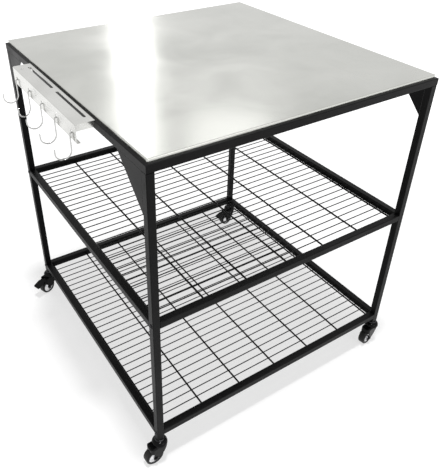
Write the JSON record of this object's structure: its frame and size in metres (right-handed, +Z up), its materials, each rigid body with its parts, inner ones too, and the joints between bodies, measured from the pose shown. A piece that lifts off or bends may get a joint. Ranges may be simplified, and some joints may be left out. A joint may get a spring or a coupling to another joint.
{
  "type": "grill cart",
  "caption": "Square tube-frame cart on swivel casters with a stainless worktop, open wire shelves and a side rack with hooks for utensils.",
  "frame": {"origin": "on the floor, below the middle of the cart's full width and depth, rack and hooks included", "axes": "+Z up, -Y towards the front, where the casters without a brake are, -X towards the side with the utensil rack"},
  "size_m": [0.9104, 0.8365, 0.914],
  "materials": {
    "black_powder_coat": "satin",
    "stainless_steel": "brushed",
    "zinc_screws": "bright",
    "black_bolts": "satin",
    "black_nylon": "gloss",
    "black_zinc": "gloss",
    "silver_hub": "bright",
    "black_rubber": "matt",
    "polished_wire": "polished"
  },
  "bodies": {
    "cart": {"top_front_tube": "black_powder_coat", "top_back_tube": "black_powder_coat", "top_left_tube": "black_powder_coat", "top_right_tube": "black_powder_coat", "leg_front_left": "black_powder_coat", "leg_front_right": "black_powder_coat", "leg_back_left": "black_powder_coat", "leg_back_right": "black_powder_coat", "mid_front_rail": "black_powder_coat", "mid_back_rail": "black_powder_coat", "mid_left_rail": "black_powder_coat", "mid_right_rail": "black_powder_coat", "low_front_rail": "black_powder_coat", "low_back_rail": "black_powder_coat", "low_left_rail": "black_powder_coat", "low_right_rail": "black_powder_coat", "mid_wire_deck": "black_powder_coat", "low_wire_deck": "black_powder_coat", "gusset_front_left": "black_powder_coat", "gusset_front_right": "black_powder_coat", "gusset_back_left": "black_powder_coat", "gusset_back_right": "black_powder_coat", "worktop": "stainless_steel", "worktop_channels": "stainless_steel", "worktop_screws": "zinc_screws", "shelf_bolts": "black_bolts", "leg_plugs": "black_nylon", "utensil_rack": "stainless_steel", "rack_screws": "zinc_screws", "stem_front_left": "black_zinc", "stem_front_right": "black_zinc", "stem_back_left": "black_zinc", "stem_back_right": "black_zinc"},
    "hook_1": {"hook_1": "polished_wire"},
    "hook_2": {"hook_2": "polished_wire"},
    "hook_3": {"hook_3": "polished_wire"},
    "hook_4": {"hook_4": "polished_wire"},
    "hook_5": {"hook_5": "polished_wire"},
    "caster_front_left": {"fork_front_left": "black_nylon", "axle_front_left": "black_zinc"},
    "wheel_front_left": {"hub_front_left": "silver_hub", "tyre_front_left": "black_rubber"},
    "caster_front_right": {"fork_front_right": "black_nylon", "axle_front_right": "black_zinc"},
    "wheel_front_right": {"hub_front_right": "silver_hub", "tyre_front_right": "black_rubber"},
    "caster_back_left": {"fork_back_left": "black_nylon", "axle_back_left": "black_zinc", "pedal_pin_back_left": "black_zinc"},
    "wheel_back_left": {"hub_back_left": "silver_hub", "tyre_back_left": "black_rubber"},
    "brake_back_left": {"pedal_back_left": "black_nylon"},
    "caster_back_right": {"fork_back_right": "black_nylon", "axle_back_right": "black_zinc", "pedal_pin_back_right": "black_zinc"},
    "wheel_back_right": {"hub_back_right": "silver_hub", "tyre_back_right": "black_rubber"},
    "brake_back_right": {"pedal_back_right": "black_nylon"}
  },
  "joints": [
    {"name": "hook_1_swing", "type": "hinge", "parent": "cart", "child": "hook_1", "pos_m": [-0.4117, 0.1845, 0.881], "axis": [0, 1, 0], "range_deg": [-9, 15]},
    {"name": "hook_2_swing", "type": "hinge", "parent": "cart", "child": "hook_2", "pos_m": [-0.4117, 0.0975, 0.88125], "axis": [0, 1, 0], "range_deg": [-7, 15]},
    {"name": "hook_3_swing", "type": "hinge", "parent": "cart", "child": "hook_3", "pos_m": [-0.4117, 0.0105, 0.881], "axis": [0, 1, 0], "range_deg": [-9, 15]},
    {"name": "hook_4_swing", "type": "hinge", "parent": "cart", "child": "hook_4", "pos_m": [-0.4117, -0.0765, 0.881], "axis": [0, 1, 0], "range_deg": [-9, 15]},
    {"name": "hook_5_swing", "type": "hinge", "parent": "cart", "child": "hook_5", "pos_m": [-0.4117, -0.1635, 0.881], "axis": [0, 1, 0], "range_deg": [-9, 15]},
    {"name": "swivel_front_left", "type": "hinge", "parent": "cart", "child": "caster_front_left", "pos_m": [-0.3598, -0.397, 0.0767], "axis": [0, 0, 1], "continuous": true},
    {"name": "wheel_spin_front_left", "type": "hinge", "parent": "caster_front_left", "child": "wheel_front_left", "pos_m": [-0.37979, -0.3977, 0.026], "axis": [-0.0349, 0.9994, 0], "continuous": true},
    {"name": "swivel_front_right", "type": "hinge", "parent": "cart", "child": "caster_front_right", "pos_m": [0.4342, -0.397, 0.0767], "axis": [0, 0, 1], "continuous": true},
    {"name": "wheel_spin_front_right", "type": "hinge", "parent": "caster_front_right", "child": "wheel_front_right", "pos_m": [0.4144, -0.39978, 0.026], "axis": [-0.1392, 0.9903, 0], "continuous": true},
    {"name": "swivel_back_left", "type": "hinge", "parent": "cart", "child": "caster_back_left", "pos_m": [-0.3598, 0.397, 0.0767], "axis": [0, 0, 1], "continuous": true},
    {"name": "wheel_spin_back_left", "type": "hinge", "parent": "caster_back_left", "child": "wheel_back_left", "pos_m": [-0.37859, 0.39016, 0.026], "axis": [-0.342, 0.9397, 0], "continuous": true},
    {"name": "brake_pedal_back_left", "type": "hinge", "parent": "caster_back_left", "child": "brake_back_left", "pos_m": [-0.38752, 0.38691, 0.0575], "axis": [-0.342, 0.9397, 0], "range_deg": [-18, 0]},
    {"name": "swivel_back_right", "type": "hinge", "parent": "cart", "child": "caster_back_right", "pos_m": [0.4342, 0.397, 0.0767], "axis": [0, 0, 1], "continuous": true},
    {"name": "wheel_spin_back_right", "type": "hinge", "parent": "caster_back_right", "child": "wheel_back_right", "pos_m": [0.41431, 0.39491, 0.026], "axis": [-0.1045, 0.9945, 0], "continuous": true},
    {"name": "brake_pedal_back_right", "type": "hinge", "parent": "caster_back_right", "child": "brake_back_right", "pos_m": [0.40486, 0.39392, 0.0575], "axis": [-0.1045, 0.9945, 0], "range_deg": [-18, 0]}
  ]
}
